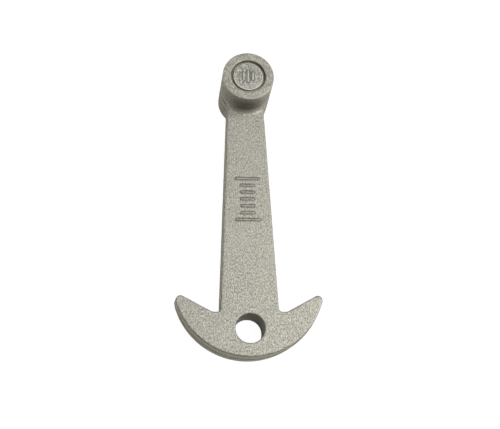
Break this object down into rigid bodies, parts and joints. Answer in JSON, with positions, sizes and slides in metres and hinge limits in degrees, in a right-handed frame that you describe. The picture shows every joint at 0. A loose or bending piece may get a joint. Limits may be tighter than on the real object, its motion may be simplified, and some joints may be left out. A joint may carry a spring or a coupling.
{
  "type": "anchor-shaped swing arm",
  "caption": "Cast arm with an anchor-shaped crown and eye at one end and a round hub at the other, turning on a headed pin in a pressed-in bush.",
  "frame": {"origin": "centre of the crown eye, on the flat rear face", "axes": "+X across the flukes, +Y up the shank from the eye to the hub, +Z out of the front face along the eye and the hub"},
  "size_m": [0.0686, 0.1453, 0.03],
  "materials": {
    "cast_steel": "as cast and blasted, fine matt grain",
    "bush_bronze": "dull, dark with age",
    "pin_steel": "forged and blasted, matt",
    "washer_steel": "satin",
    "spring_steel": "dark phosphated"
  },
  "bodies": {
    "arm": {"anchor_arm": "cast_steel", "hub_bush": "bush_bronze"},
    "pivot": {"pivot_pin": "pin_steel", "thrust_washer": "washer_steel", "retaining_ring": "spring_steel"}
  },
  "joints": [
    {"name": "hub_pivot", "type": "hinge", "parent": "arm", "child": "pivot", "pos_m": [0, 0.1195, 0.015], "axis": [0, 0, 1], "continuous": true}
  ]
}
